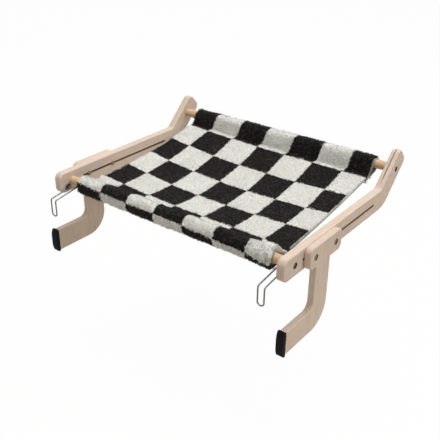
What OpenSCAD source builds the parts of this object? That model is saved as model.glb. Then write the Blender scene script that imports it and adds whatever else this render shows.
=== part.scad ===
// Radiator hammock for a cat: two bent side arms carry two dowels and a plush sling.
// Wire hooks at the front hang over the edge of a radiator, and two J-shaped legs,
// clamped in the slots of the arms, brace their rubber pads against its face.
// X runs along the dowels, +Y away from the radiator and +Z up. The origin lies midway
// between the hooks, where their wires rest on the edge.

/* [Frame] */
// Distance between the inner faces of the arms
inner_w = 560; // [460:10:700]
// Thickness of an arm
arm_t = 17.5; // [15:0.5:20]
// Height of an arm
arm_h = 46.5; // [42:0.5:52]
// Front end of an arm, ahead of the front dowel
arm_front = 36; // [34:1:42]
// Back end of an arm, beyond the back dowel
arm_tail = 39.5; // [32:0.5:44]
// Distance from the front dowel to the bend
bend_reach = 345; // [335:1:380]
// Angle of the bend
bend_angle = 44; // [35:0.5:50]
// Distance from the bend to the back dowel
bend_to_dowel = 72; // [64:1:90]
// Inner radius of the bend
bend_inner_r = 12; // [8:1:16]
// Corner radius at the ends of an arm
arm_corner_r = 14; // [10:1:17]
// Rounding of the long edges of an arm
arm_edge_r = 3; // [2:0.5:4]

/* [Slot] */
// Width of the adjusting slot
slot_w = 4.6; // [4.6:0.1:6]
// Front end of the slot, behind the front dowel
slot_start = 25; // [22:1:28]
// Back end of the slot, behind the front dowel
slot_end = 304; // [260:1:306]

/* [Dowels] */
// Diameter of a dowel
dowel_d = 20; // [18:1:22]
// Chamfer at the ends of a dowel
dowel_chamfer = 0.8; // [0.5:0.1:1]

/* [Dowel screws] */
// Shank diameter of a dowel screw
dowel_screw_d = 5; // [4:0.5:6]
// Head diameter of a dowel screw
dowel_screw_head_d = 9; // [8:0.5:9]
// Head height of a dowel screw
dowel_screw_head_h = 3; // [2:0.5:4]
// Depth of the recess for the head
dowel_screw_recess = 5; // [4.5:0.5:6]
// How deep the screw goes into the dowel
dowel_screw_grip = 35; // [25:1:45]
// Diameter of the recess round a screw or bolt head
recess_d = 10; // [9.5:0.5:10.5]

/* [Legs] */
// Thickness of a leg
leg_t = 14; // [12:1:16]
// Length of the clamping plate at the top of a leg
plate_l = 115; // [110:1:125]
// Height of the clamping plate
plate_h = 45; // [40:1:50]
// Front edge of the clamping plate, behind the front dowel
plate_start = 28; // [27:1:32]
// Corner radius of the clamping plate
plate_corner_r = 12; // [8:1:15]
// Rounding of the edges of a leg
leg_edge_r = 2.5; // [1.5:0.5:3]
// Width of the leg and the foot
leg_w = 51.5; // [46:0.5:56]
// Front edge of the leg, behind the front edge of the plate
leg_setback = 23.5; // [20:0.5:28]
// Depth of the underside of the foot below the dowel
foot_depth = 167.5; // [155:0.5:190]
// Front end of the wooden foot, ahead of the front dowel
foot_front = 40.5; // [38:0.5:46]
// Fillet between the leg and the foot
leg_fillet_r = 18; // [12:1:22]

/* [Pads] */
// Thickness of a pad at its upper and lower edges
pad_edge_t = 5; // [3:0.5:6]
// How far the front of a pad swells beyond its edges
pad_swell = 4; // [2:0.5:5]
// How far a pad stands proud of the foot all round
pad_lip = 1; // [0.5:0.25:1.5]
// Height of the flat land in the middle of a pad
pad_land_h = 20; // [12:1:26]

/* [Leg bolts] */
// Distance between the two bolts of a leg
bolt_spacing = 73; // [66:1:75]
// Front bolt, behind the front edge of the plate
bolt_setback = 20; // [18:1:22]
// Diameter of a bolt
bolt_d = 4; // [3.5:0.5:4]
// Head diameter of a bolt
bolt_head_d = 8.5; // [7:0.5:8.5]
// Head height of a bolt
bolt_head_h = 3.5; // [3:0.5:4]
// Depth of the recess for the head
bolt_recess = 4.5; // [4:0.5:5]
// Width of a nut across its flats
nut_w = 7; // [7:0.5:9]
// Thickness of a nut
nut_t = 3.2; // [3:0.1:4]
// Diameter of a washer
washer_d = 10; // [9:0.5:12]
// Thickness of a washer
washer_t = 1; // [0.8:0.1:1.2]
// Bolt end that stands out of the nut
bolt_end = 1.2; // [0.8:0.1:2]

/* [Hooks] */
// Diameter of the hook wire
wire_d = 3; // [2.5:0.25:3.5]
// Distance between the two wires of a hook, centre to centre
wire_gap = 14; // [12:0.5:15]
// Slope of the top run of a hook
run_slope = 8.4; // [7:0.2:9]
// Reach of the hook ahead of the front dowel
hook_reach = 66; // [62:0.5:75]
// Depth of the hook loop below the front dowel
hook_depth = 61.5; // [55:0.5:80]
// Radius of the bend between the run and the drop
hook_bend_r = 5; // [4:0.5:7]
// Radius of the eye, to the middle of its wire
eye_r = 5; // [5:0.25:5.5]
// Distance from the front dowel to the eye
eye_reach = 16; // [15.5:0.5:20]
// Open gap of the eye
eye_gap_angle = 75; // [75:5:100]
// Length of the tail under the dowel, behind its middle
tail_l = 6; // [4:1:10]

/* [Hook screws] */
// Shank diameter of a hook screw
hook_screw_d = 4; // [3:0.5:4.5]
// Head diameter of a hook screw
hook_screw_head_d = 8; // [7:0.5:9]
// Head height of a hook screw
hook_screw_head_h = 2.6; // [2:0.2:3]
// How deep the screw goes into the arm
hook_screw_grip = 11; // [8:1:11]
// Diameter of the washer that keeps the eye on its screw
hook_washer_d = 12; // [11.5:0.5:13]

/* [Sling] */
// Distance from the end of a plush sleeve to the arm beside it
side_gap = 30; // [20:2:60]
// Canvas hem that shows past the plush at the end of a sleeve
hem_l = 5; // [3:0.5:7]
// Thickness of the plush
plush_t = 4.4; // [3.5:0.1:6]
// Thickness of the canvas backing
canvas_t = 0.8; // [0.6:0.1:1.2]
// How much larger the under side of a sleeve is than its dowel
sleeve_slack = 3; // [1:0.5:4]
// Front seam, behind the front dowel
seam_front_y = 50; // [45:1:60]
// Top of the front seam below the middle of the front dowel
seam_front_drop = 12; // [12:0.5:18]
// Radius of the crease at the front seam
crease_front_r = 12; // [6:1:14]
// Back seam, ahead of the back dowel
seam_back_y = 28; // [26:1:34]
// Top of the back seam below the middle of the back dowel
seam_back_drop = 21.5; // [21:0.5:28]
// Radius of the crease at the back seam
crease_back_r = 8; // [4:1:9]
// Sag of the seat below the line between its seams
seat_sag = 17; // [14:0.5:24]
// Step in from the end of a plush sleeve to the side edge of the seat
side_step = 7; // [4:1:12]
// How far each side edge of the seat is drawn in at its middle
side_draw = 5; // [3:1:10]
// Thickness of the tape that binds a side edge
tape_t = 0.8; // [0.5:0.1:1]
// Width of the tape that is folded over the plush and the canvas
tape_fold = 6; // [4:1:10]

/* [Clearances] */
// Clearance between parts that slide or swing on each other
slide_gap = 0.3; // [0.2:0.05:0.4]
// Looseness of the canvas round a dowel
cloth_gap = 0.06; // [0.05:0.01:0.1]
// Clearance round a bolt or screw in its hole
hole_gap = 0.2; // [0.1:0.05:0.25]
// Clearance round the thread of a screw in its pilot hole
thread_gap = 0.05; // [0.02:0.01:0.1]

/* [Hidden] */
$fn = 48;

// Overrun of a cut past the faces that it goes through
cut = 1;
// How far a straight length runs into a bend, and how much thicker the bend is all round
lap = 0.3;
bend_swell = 0.02;
// Chamfer at the tip of a wire
wire_tip = 0.6;
// Sides of the circles that the large arcs are drawn with
fine = 360;
// Flat strips in the arc of the seat, in a crease and in half of a sleeve
seat_steps = 25;
crease_steps = 6;
wrap_steps = 12;
// Strips of the seat that a flap is sewn under
flap_steps = 1;

birch = [0.86, 0.77, 0.66];
beech = [0.82, 0.66, 0.46];
steel = [0.62, 0.62, 0.6];
dark_steel = [0.3, 0.3, 0.3];
rubber = [0.08, 0.09, 0.1];
fleece = [0.88, 0.88, 0.86];
cotton = [0.6, 0.62, 0.57];

arm_in = inner_w / 2;
arm_out = arm_in + arm_t;
leg_in = arm_out + slide_gap;
leg_out = leg_in + leg_t;
dowel_r = dowel_d / 2;
wire_r = wire_d / 2;

// Places on the arm, measured from the front dowel
bend_r = bend_inner_r + arm_h / 2;
bend_run = bend_r * tan(bend_angle / 2);
back_y = bend_reach + bend_to_dowel * cos(bend_angle);
back_z = bend_to_dowel * sin(bend_angle);

// The hook: its run passes just under the front dowel
tail_z = -dowel_r - slide_gap - wire_r / cos(run_slope);
corner_z = tail_z - hook_reach * tan(run_slope);
eye_foot = [-eye_reach, tail_z - eye_reach * tan(run_slope)];
eye_y = eye_foot[0] - eye_r * sin(run_slope);
eye_z = eye_foot[1] + eye_r * cos(run_slope);
wire_out_x = arm_in - slide_gap - wire_r;
wire_in_x = wire_out_x - wire_gap;
washer_x = wire_out_x - wire_r - slide_gap;
loop_z = -hook_depth + wire_r + wire_gap / 2;

// The seat of the hooks on the radiator's edge is the origin
seat_y = (hook_reach - wire_r + arm_front) / 2;
seat_z = -tail_z + seat_y * tan(run_slope) + wire_r / cos(run_slope);

// The leg, measured from the front dowel
leg_front = plate_start + leg_setback;
leg_back = leg_front + leg_w;
foot_top = -foot_depth + leg_w;
bolts_y = [plate_start + bolt_setback, plate_start + bolt_setback + bolt_spacing];

// The fabric: its canvas lies on the dowels and the plush lies on the canvas
skin_t = canvas_t + plush_t;
sleeve_r = dowel_r + cloth_gap + skin_t;
seam_front = [seam_front_y, -seam_front_drop];
seam_back = [back_y - seam_back_y, back_z - seam_back_drop];
seat_line = seam_back - seam_front;
seat_tilt = atan2(seat_line[1], seat_line[0]);
seat_r = (seat_line * seat_line / 4 + seat_sag * seat_sag) / (2 * seat_sag);
seat_half = asin(norm(seat_line) / 2 / seat_r);
seat_c = (seam_front + seam_back) / 2 + (seat_r - seat_sag) * [-sin(seat_tilt), cos(seat_tilt)];
seat_from = 270 + seat_tilt - seat_half;
seat_to = 270 + seat_tilt + seat_half;
plush_half_l = arm_in - side_gap;
sleeve_half_l = plush_half_l + hem_l;
strip_angle = (seat_to - seat_from) * flap_steps / seat_steps;
hem_front = seat_c + seat_r * [cos(seat_from + strip_angle), sin(seat_from + strip_angle)];
hem_back = seat_c + seat_r * [cos(seat_to - strip_angle), sin(seat_to - strip_angle)];
side_len = hem_back[0] - hem_front[0];
side_r = (side_len * side_len / 4 + side_draw * side_draw) / (2 * side_draw);
side_c = [plush_half_l - side_step - side_draw + side_r, (hem_front[0] + hem_back[0]) / 2];

function polar(r, a) = r * [cos(a), sin(a)];

// Moves what is drawn round the front dowel to the frame's origin
module at_dowel() {
    translate([0, seat_y, seat_z]) children();
}

// Mirrors what is drawn on the right onto the left
module on_side(side) {
    at_dowel() mirror([side < 0 ? 1 : 0, 0, 0]) children();
}

// Turns a board drawn flat so that it stands in the YZ plane with its inner face at x
module stand(x) {
    translate([x, 0, 0]) rotate([90, 0, 90]) children();
}

// Cross-section of a board with rounded edges
module board_section(w, t, e) {
    translate([e, 0]) square([w - 2 * e, t]);
    translate([0, e]) square([w, t - 2 * e]);
    for (x = [e, w - e], y = [e, t - e])
        translate([x, y]) circle(r = e);
}

// The same section with only its outer edge rounded
module edge_section(w, t, e) {
    square([w - e, t]);
    translate([0, e]) square([w, t - 2 * e]);
    for (y = [e, t - e])
        translate([w - e, y]) circle(r = e);
}

// Straight bar along X, centred on Y, with its long edges rounded
module bar(l, w, t, e) {
    rotate([90, 0, 90]) linear_extrude(l) translate([-w / 2, 0]) board_section(w, t, e);
}

// Rounded end of a bar, from X = 0 outwards
module bar_end(w, t, e, r) {
    translate([0, w / 2 - r, 0]) rotate_extrude(angle = 90) edge_section(r, t, e);
    translate([0, r - w / 2, 0]) rotate([0, 0, -90]) rotate_extrude(angle = 90) edge_section(r, t, e);
    translate([0, w / 2 - r, 0]) rotate([90, 0, 0]) linear_extrude(w - 2 * r) edge_section(r, t, e);
}

// Straight wire in the plane X = x between two points, run into a bend by the lap at
// either end, or with a chamfered tip at its far end
module wire(x, a, b, lap_a, lap_b, tip) {
    d = b - a;
    l = norm(d) + lap_a + lap_b;
    stand(x) translate(a) rotate([0, 0, atan2(d[1], d[0])]) rotate([0, 90, 0]) translate([0, 0, -lap_a]) {
        cylinder(r = wire_r, h = l - tip);
        if (tip > 0) translate([0, 0, l - tip]) cylinder(r1 = wire_r, r2 = wire_r - tip, h = tip);
    }
}

// Hole along X, drawn from its start to its end
module bore_x(x, l, y, z, r) {
    translate([x, y, z]) rotate([0, 90, 0]) cylinder(r = r, h = l);
}

// Side arm: a bar with a bend, rounded at both ends
module arm_board() {
    front_l = arm_front - arm_corner_r + bend_reach - bend_run;
    back_l = bend_to_dowel + arm_tail - arm_corner_r - bend_run;
    translate([-arm_front + arm_corner_r, 0, 0]) {
        bar(front_l + lap, arm_h, arm_t, arm_edge_r);
        translate([0, 0, arm_t]) rotate([0, 180, 0]) bar_end(arm_h, arm_t, arm_edge_r, arm_corner_r);
    }
    translate([bend_reach - bend_run, bend_r, 0]) {
        rotate([0, 0, -90]) rotate_extrude(angle = bend_angle)
            translate([bend_inner_r - bend_swell, -bend_swell])
                board_section(arm_h + 2 * bend_swell, arm_t + 2 * bend_swell, arm_edge_r + bend_swell);
        rotate([0, 0, bend_angle]) translate([0, -bend_r, 0]) {
            translate([-lap, 0, 0]) bar(back_l + lap, arm_h, arm_t, arm_edge_r);
            translate([back_l, 0, 0]) bar_end(arm_h, arm_t, arm_edge_r, arm_corner_r);
        }
    }
}

module slot_cut() {
    r = slot_w / 2;
    translate([slot_start + r, -r, -cut]) cube([slot_end - slot_start - slot_w, slot_w, arm_t + 2 * cut]);
    for (x = [slot_start + r, slot_end - r])
        translate([x, 0, -cut]) cylinder(r = r, h = arm_t + 2 * cut);
}

module arm(side) {
    color(birch) on_side(side) difference() {
        stand(arm_in) difference() {
            arm_board();
            slot_cut();
        }
        for (p = [[0, 0], [back_y, back_z]]) {
            bore_x(arm_in - cut, arm_t + 2 * cut, p[0], p[1], dowel_screw_d / 2 + hole_gap);
            bore_x(arm_out - dowel_screw_recess, dowel_screw_recess + cut, p[0], p[1], recess_d / 2);
        }
        bore_x(arm_in - cut, hook_screw_grip + cut + slide_gap, eye_y, eye_z,
            hook_screw_d / 2 + thread_gap);
    }
}

// Dowel with chamfered ends and a pilot hole for its screw at each end
module dowel(y, z) {
    color(beech) at_dowel() difference() {
        translate([-arm_in, y, z]) rotate([0, 90, 0]) {
            cylinder(r1 = dowel_r - dowel_chamfer, r2 = dowel_r, h = dowel_chamfer);
            translate([0, 0, dowel_chamfer]) cylinder(r = dowel_r, h = inner_w - 2 * dowel_chamfer);
            translate([0, 0, inner_w - dowel_chamfer])
                cylinder(r1 = dowel_r, r2 = dowel_r - dowel_chamfer, h = dowel_chamfer);
        }
        for (x = [-arm_in - cut, arm_in - dowel_screw_grip - slide_gap])
            bore_x(x, dowel_screw_grip + slide_gap + cut, y, z, dowel_screw_d / 2 + thread_gap);
    }
}

// Screws that hold the two dowels to one arm, with a hexagon socket in each head
module dowel_screws(side) {
    head_x = arm_out - dowel_screw_recess;
    tip_x = arm_in - dowel_screw_grip;
    color(dark_steel) on_side(side)
        for (p = [[0, 0], [back_y, back_z]]) difference() {
            union() {
                bore_x(head_x, dowel_screw_head_h, p[0], p[1], dowel_screw_head_d / 2);
                bore_x(tip_x, head_x - tip_x, p[0], p[1], dowel_screw_d / 2);
            }
            socket(head_x + dowel_screw_head_h, p, dowel_screw_head_d, dowel_screw_head_h);
        }
}

// Hexagon socket sunk from x into a head
module socket(x, p, head_d, head_h) {
    socket_share = 0.44;
    depth_share = 0.6;
    translate([x - head_h * depth_share, p[0], p[1]]) rotate([0, 90, 0])
        cylinder(d = head_d * socket_share, h = head_h * depth_share + cut, $fn = 6);
}

// Leg: clamping plate, upright and foot in one board
module leg_board() {
    r = plate_corner_r;
    plate_mid = plate_start + plate_l / 2;
    translate([plate_start + r, 0, 0]) bar(plate_l - 2 * r, plate_h, leg_t, leg_edge_r);
    translate([plate_start + plate_l - r, 0, 0]) bar_end(plate_h, leg_t, leg_edge_r, r);
    translate([plate_start + r, 0, leg_t]) rotate([0, 180, 0]) bar_end(plate_h, leg_t, leg_edge_r, r);
    // upright
    translate([leg_front + leg_w / 2, -plate_h / 2 + leg_edge_r, 0]) rotate([0, 0, -90])
        bar(-foot_top - plate_h / 2 + leg_edge_r, leg_w, leg_t, leg_edge_r);
    // heel, a quarter disc round the inner corner
    translate([leg_front, foot_top, 0]) rotate([0, 0, -90]) rotate_extrude(angle = 90)
        edge_section(leg_w, leg_t, leg_edge_r);
    // foot
    translate([-foot_front, foot_top - leg_w / 2, 0])
        bar(foot_front + leg_front, leg_w, leg_t, leg_edge_r);
    // fillet between the upright and the foot
    translate([leg_front - leg_fillet_r, foot_top + leg_fillet_r, 0]) rotate([0, 0, -90])
        rotate_extrude(angle = 90) translate([leg_fillet_r, 0]) mirror([1, 0])
            translate([-leg_fillet_r, 0]) edge_section(leg_fillet_r, leg_t, leg_edge_r);
}

module leg(side) {
    color(birch) on_side(side) difference() {
        stand(leg_in) leg_board();
        for (y = bolts_y) {
            bore_x(leg_in - cut, leg_t + 2 * cut, y, 0, bolt_d / 2 + hole_gap);
            bore_x(leg_out - bolt_recess, bolt_recess + cut, y, 0, recess_d / 2);
        }
    }
}

// Rubber pad on the end of a foot: a flat land between two rounded shoulders
module pad(side) {
    w = leg_w + 2 * pad_lip;
    t = pad_edge_t + pad_swell;
    shoulder_h = (w - pad_land_h) / 2;
    shoulder_r = (shoulder_h * shoulder_h + pad_swell * pad_swell) / (2 * pad_swell);
    color(rubber) on_side(side) stand(leg_in - pad_lip)
        translate([-foot_front - t, foot_top - leg_w / 2, 0]) linear_extrude(leg_t + 2 * pad_lip) {
            translate([0, -pad_land_h / 2]) square([t, pad_land_h]);
            for (m = [0, 1]) mirror([0, m]) intersection() {
                translate([0, pad_land_h / 2]) square([t, shoulder_h]);
                translate([shoulder_r, pad_land_h / 2]) circle(r = shoulder_r, $fn = fine);
            }
        }
}

// Socket-head bolts of one leg, from the recess in the plate to the nut inside the arm
module leg_bolts(side) {
    head_x = leg_out - bolt_recess;
    tip_x = arm_in - slide_gap - washer_t - nut_t - bolt_end;
    color(dark_steel) on_side(side)
        for (y = bolts_y) difference() {
            union() {
                bore_x(head_x, bolt_head_h, y, 0, bolt_head_d / 2);
                bore_x(tip_x, head_x - tip_x, y, 0, bolt_d / 2);
            }
            socket(head_x + bolt_head_h, [y, 0], bolt_head_d, bolt_head_h);
        }
}

module leg_washers(side) {
    color(steel) on_side(side)
        for (y = bolts_y) difference() {
            bore_x(arm_in - slide_gap - washer_t, washer_t, y, 0, washer_d / 2);
            bore_x(arm_in - slide_gap - washer_t - cut, washer_t + 2 * cut, y, 0, bolt_d / 2 + thread_gap);
        }
}

module leg_nuts(side) {
    x = arm_in - slide_gap - washer_t - nut_t;
    color(steel) on_side(side)
        for (y = bolts_y) difference() {
            translate([x, y, 0]) rotate([0, 90, 0]) cylinder(d = nut_w / cos(30), h = nut_t, $fn = 6);
            bore_x(x - cut, nut_t + 2 * cut, y, 0, bolt_d / 2 + thread_gap);
        }
}

// Arc of wire in the plane X = x, round the point c, from angle a to angle b
module wire_arc(x, c, r, a, b) {
    stand(x) translate(c) rotate([0, 0, a]) rotate_extrude(angle = b - a)
        translate([r, 0]) circle(r = wire_r + bend_swell);
}

// Run, bend and drop of one wire of a hook; the run ends at y_end
module hook_wire(x, y_end, lap_end, tip) {
    lead = hook_bend_r * tan((90 - run_slope) / 2);
    bend = [-hook_reach, corner_z] + lead * [cos(run_slope), sin(run_slope)];
    run_end = [y_end, corner_z + (y_end + hook_reach) * tan(run_slope)];
    wire(x, bend, run_end, lap, lap_end, tip);
    wire_arc(x, bend + hook_bend_r * [sin(run_slope), -cos(run_slope)], hook_bend_r, 90 + run_slope, 180);
    wire(x, [-hook_reach, corner_z - lead], [-hook_reach, loop_z], lap, lap, 0);
}

// Hook bent from one wire: eye, outer wire, loop, inner wire and tail under the dowel
module hook(side) {
    color(steel) on_side(side) {
        hook_wire(wire_out_x, eye_foot[0], lap, 0);
        hook_wire(wire_in_x, tail_l, 0, wire_tip);
        translate([wire_out_x - wire_gap / 2, -hook_reach, loop_z]) rotate([90, 0, 0]) rotate([0, 0, 180])
            rotate_extrude(angle = 180) translate([wire_gap / 2, 0]) circle(r = wire_r + bend_swell);
        wire_arc(wire_out_x, [eye_y, eye_z], eye_r, run_slope - 90, run_slope + 270 - eye_gap_angle);
    }
}

// Shoulder screw on which a hook swings
module hook_screw(side) {
    shoulder_r = eye_r - wire_r - slide_gap;
    neck_x = washer_x - washer_t;
    color(steel) on_side(side) {
        bore_x(arm_in, hook_screw_grip, eye_y, eye_z, hook_screw_d / 2);
        bore_x(washer_x, arm_in - washer_x, eye_y, eye_z, shoulder_r);
        bore_x(neck_x, washer_t, eye_y, eye_z, hook_screw_d / 2);
        bore_x(neck_x - hook_screw_head_h, hook_screw_head_h, eye_y, eye_z, hook_screw_head_d / 2);
    }
}

module hook_washer(side) {
    color(dark_steel) on_side(side) difference() {
        bore_x(washer_x - washer_t, washer_t, eye_y, eye_z, hook_washer_d / 2);
        bore_x(washer_x - washer_t - cut, washer_t + 2 * cut, eye_y, eye_z, hook_screw_d / 2 + thread_gap);
    }
}

// Points on an arc round c, from angle a to angle b
function arc(c, r, a, b, n) = [for (i = [0 : n]) c + polar(r, a + (b - a) * i / n)];

// The face of the seat at depth t below the top of the plush, or a part of it
function seat_face(t, from = 0, to = seat_steps) =
    [for (i = [from : to]) seat_c + polar(seat_r + t, seat_from + (seat_to - seat_from) * i / seat_steps)];

// The face of the upper half of a sleeve at depth t, for a dowel at the origin and a
// seat round c on its +Y side: from the crease at angle a over the dowel to its front
function upper_face(t, c, a, crease_r) =
    let (
        v = c + polar(seat_r - crease_r, a),
        over = atan2(v[1], v[0]) + acos((sleeve_r + crease_r) / norm(v))
    ) concat(
        arc(v, crease_r + t, a, over + 180, crease_steps),
        arc([0, 0], sleeve_r - t, over, 180, wrap_steps)
    );

// The face of its lower half: from the front of the dowel back under it to the seam
function lower_face(t, c, a) =
    let (
        loop_r = dowel_r + cloth_gap + sleeve_slack,
        k = [sleeve_slack, 0],
        f = c + polar(seat_r + skin_t, a),
        under = 360 + atan2(f[1], f[0] - sleeve_slack) - acos(loop_r / norm(f - k))
    ) concat(arc(k, loop_r + skin_t - t, 180, under, wrap_steps), [f + polar(skin_t - t, under)]);

// Both halves of the back sleeve follow the same path, mirrored about its dowel
back_c = [back_y - seat_c[0], seat_c[1] - back_z];
back_from = 540 - seat_to;
function at_back(v) = [for (p = v) [back_y - p[0], back_z + p[1]]];

// The first or last strip of the seat, at depth t; the flap's strip has its canvas against it
function front_strip(t) = seat_face(t, 0, flap_steps);
function back_strip(t) = seat_face(t, seat_steps - flap_steps, seat_steps);

function reversed(v) = [for (i = [len(v) - 1 : -1 : 0]) v[i]];

// Sheet along X of length l between two faces
module sheet(l, face_1, face_2) {
    stand(-l / 2) linear_extrude(l) polygon(concat(face_1, reversed(face_2)));
}

// Discs, seen from above, that draw in the side edges of the seat
module side_discs() {
    for (m = [0, 1]) mirror([m, 0, 0])
        translate([side_c[0], side_c[1], -seat_r]) cylinder(r = side_r, h = 2 * seat_r, $fn = fine);
}

// The face of the seat between the flaps, run by the lap into the strip at either end
function lapped_face(t) =
    let (
        v = seat_face(t),
        lead = (v[flap_steps - 1] - v[flap_steps]) / norm(v[flap_steps - 1] - v[flap_steps]),
        e = seat_steps - flap_steps,
        tail = (v[e + 1] - v[e]) / norm(v[e + 1] - v[e])
    ) concat([v[flap_steps] + lap * lead], seat_face(t, flap_steps, e), [v[e] + lap * tail]);

// The layer of the seat between depths t1 and t2 below the top of the plush
module seat(t1, t2) {
    difference() {
        sheet(2 * plush_half_l, lapped_face(t1), lapped_face(t2));
        side_discs();
    }
}

// One layer of the whole sling, with sleeves of length l
module sling_layer(l, t1, t2) {
    u1 = 2 * skin_t - t1;
    u2 = 2 * skin_t - t2;
    seat(t1, t2);
    sheet(l, concat(reversed(front_strip(t1)), upper_face(t1, seat_c, seat_from, crease_front_r)),
        concat(reversed(front_strip(t2)), upper_face(t2, seat_c, seat_from, crease_front_r)));
    sheet(l, concat(lower_face(t1, seat_c, seat_from), front_strip(u1)),
        concat(lower_face(t2, seat_c, seat_from), front_strip(u2)));
    sheet(l, concat(back_strip(t1), at_back(upper_face(t1, back_c, back_from, crease_back_r))),
        concat(back_strip(t2), at_back(upper_face(t2, back_c, back_from, crease_back_r))));
    sheet(l, concat(at_back(lower_face(t1, back_c, back_from)), reversed(back_strip(u1))),
        concat(at_back(lower_face(t2, back_c, back_from)), reversed(back_strip(u2))));
}

module sling_plush() {
    color(fleece) at_dowel() sling_layer(2 * plush_half_l, 0, plush_t);
}

module sling_canvas() {
    color(cotton) at_dowel() sling_layer(2 * sleeve_half_l, plush_t, skin_t);
}

// Tape folded round one side edge of the seat, between the two flaps
module binding(side) {
    color(cotton) on_side(side) difference() {
        intersection() {
            sheet(2 * sleeve_half_l, seat_face(-tape_t, flap_steps, seat_steps - flap_steps),
                seat_face(skin_t + tape_t, flap_steps, seat_steps - flap_steps));
            translate([side_c[0], side_c[1], -seat_r]) difference() {
                cylinder(r = side_r + tape_fold, h = 2 * seat_r, $fn = fine);
                translate([0, 0, -cut]) cylinder(r = side_r - tape_t, h = 2 * (seat_r + cut), $fn = fine);
            }
        }
        difference() {
            sheet(2 * plush_half_l, seat_face(0, flap_steps, seat_steps - flap_steps),
                seat_face(skin_t, flap_steps, seat_steps - flap_steps));
            side_discs();
        }
    }
}

arm(-1);  // arm_left
arm(1);  // arm_right
dowel(0, 0);  // front_dowel
dowel(back_y, back_z);  // back_dowel
dowel_screws(-1);  // dowel_screws_left
dowel_screws(1);  // dowel_screws_right
leg(-1);  // leg_left
leg(1);  // leg_right
pad(-1);  // pad_left
pad(1);  // pad_right
leg_bolts(-1);  // leg_bolts_left
leg_bolts(1);  // leg_bolts_right
leg_washers(-1);  // leg_washers_left
leg_washers(1);  // leg_washers_right
leg_nuts(-1);  // leg_nuts_left
leg_nuts(1);  // leg_nuts_right
hook(-1);  // hook_left
hook(1);  // hook_right
hook_screw(-1);  // hook_screw_left
hook_screw(1);  // hook_screw_right
hook_washer(-1);  // hook_washer_left
hook_washer(1);  // hook_washer_right
sling_plush();
sling_canvas();
binding(-1);  // binding_left
binding(1);  // binding_right
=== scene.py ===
"""Looks of the radiator hammock: plush sling, birch arms and legs, steel hooks and rubber pads.

Lengths are in metres in the row frame: X along the dowels, +Y out from the radiator, +Z up.
The cloth is worked out in millimetres round the front dowel's axis and turned to metres last.
"""

import math

import bpy
import numpy as np
from mathutils import Matrix, Vector, noise

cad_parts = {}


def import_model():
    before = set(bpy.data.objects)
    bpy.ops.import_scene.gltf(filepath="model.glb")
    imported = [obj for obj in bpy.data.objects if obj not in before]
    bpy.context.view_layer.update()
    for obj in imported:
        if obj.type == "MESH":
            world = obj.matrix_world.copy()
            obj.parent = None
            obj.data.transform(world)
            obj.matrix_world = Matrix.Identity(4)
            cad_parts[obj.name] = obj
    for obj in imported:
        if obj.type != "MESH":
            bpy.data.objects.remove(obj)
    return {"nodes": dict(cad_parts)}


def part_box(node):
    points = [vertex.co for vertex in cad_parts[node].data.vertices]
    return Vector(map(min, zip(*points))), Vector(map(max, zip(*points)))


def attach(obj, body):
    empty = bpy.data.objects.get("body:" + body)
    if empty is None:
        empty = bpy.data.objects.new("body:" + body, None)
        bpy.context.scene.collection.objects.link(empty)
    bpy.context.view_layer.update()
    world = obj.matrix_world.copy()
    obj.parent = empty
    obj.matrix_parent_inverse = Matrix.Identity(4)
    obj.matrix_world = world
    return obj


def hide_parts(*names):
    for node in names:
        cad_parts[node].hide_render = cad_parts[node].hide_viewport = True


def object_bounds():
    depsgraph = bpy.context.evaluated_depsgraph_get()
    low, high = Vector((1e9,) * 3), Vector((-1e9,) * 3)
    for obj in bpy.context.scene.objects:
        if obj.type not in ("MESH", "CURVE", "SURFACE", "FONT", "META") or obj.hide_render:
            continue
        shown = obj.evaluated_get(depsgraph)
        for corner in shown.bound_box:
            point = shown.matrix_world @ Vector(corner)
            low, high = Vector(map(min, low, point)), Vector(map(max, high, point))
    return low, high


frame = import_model()
cad_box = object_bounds()
nodes = frame["nodes"]
MM = 0.001
SIDES = (("left", -1), ("right", 1))

# Camera, from the photograph: degrees, metres, and pixels across a 440 pixel frame
CAMERA_AZIMUTH = 37.2785
CAMERA_ELEVATION = 27.9409
CAMERA_ROLL = 0.6864
CAMERA_PLACE = (0.8175421, -0.8534714, 0.6586722)
CAMERA_FOCAL_PX = 688.759
PHOTO_PX = 440
SENSOR_MM = 36.0

# Cloth: thickness of the plush and of the canvas, its gap to a dowel, and the slack of a sleeve
PLUSH_T = 4.4
CANVAS_T = 0.8
SKIN_T = PLUSH_T + CANVAS_T
CLOTH_GAP = 0.06
SLEEVE_SLACK = 3.0
# Seams between sleeves and seat: from the front dowel's axis, and ahead of and below the back
# dowel's
SEAM_FRONT = (50.0, -12.0)
SEAM_BACK_REACH = 28.0
SEAM_BACK_DROP = 21.5
# Radii of the creases above the seams, sag of the seat's arc, and the number of strips in it,
# of which each flap under the seat takes one
CREASE_FRONT_R = 12.0
CREASE_BACK_R = 8.0
SEAT_SAG = 17.0
SEAT_STRIPS = 25
PLUSH_HALF = 250.0
# Spacing of the points along the section of the cloth and in the grids of plush and canvas
PATH_STEP = 0.5
PLUSH_GRID = 2.0
CANVAS_GRID = 2.5
# Ends of the plush on the front and the back sleeve, and how far the cloth slants to the right
# up the back roll
LEFT_ENDS = (-247.5, -243.0)
RIGHT_ENDS = (250.0, 245.0)
BACK_SLANT = 8.0
# Share of that slant which is gone at the right end, and share that a sleeve's ends follow
SLANT_FADE = 0.6
SLANT_ENDS = 0.6
# Places across the cloth between which the slant fades, distance ahead of the roll's rearmost
# line at which it is complete, and distances past that line between which it ends
SLANT_SPAN = (-100, 250)
SLANT_AHEAD = 8
SLANT_PAST = (25, 50)
# How far the right end of the front roll reaches past its edge at the front, and how much
# thicker its pile is there, all round and behind its top
END_BULGE = 4.0
END_PUFF = 2.0
END_CREST = 4.5
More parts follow.
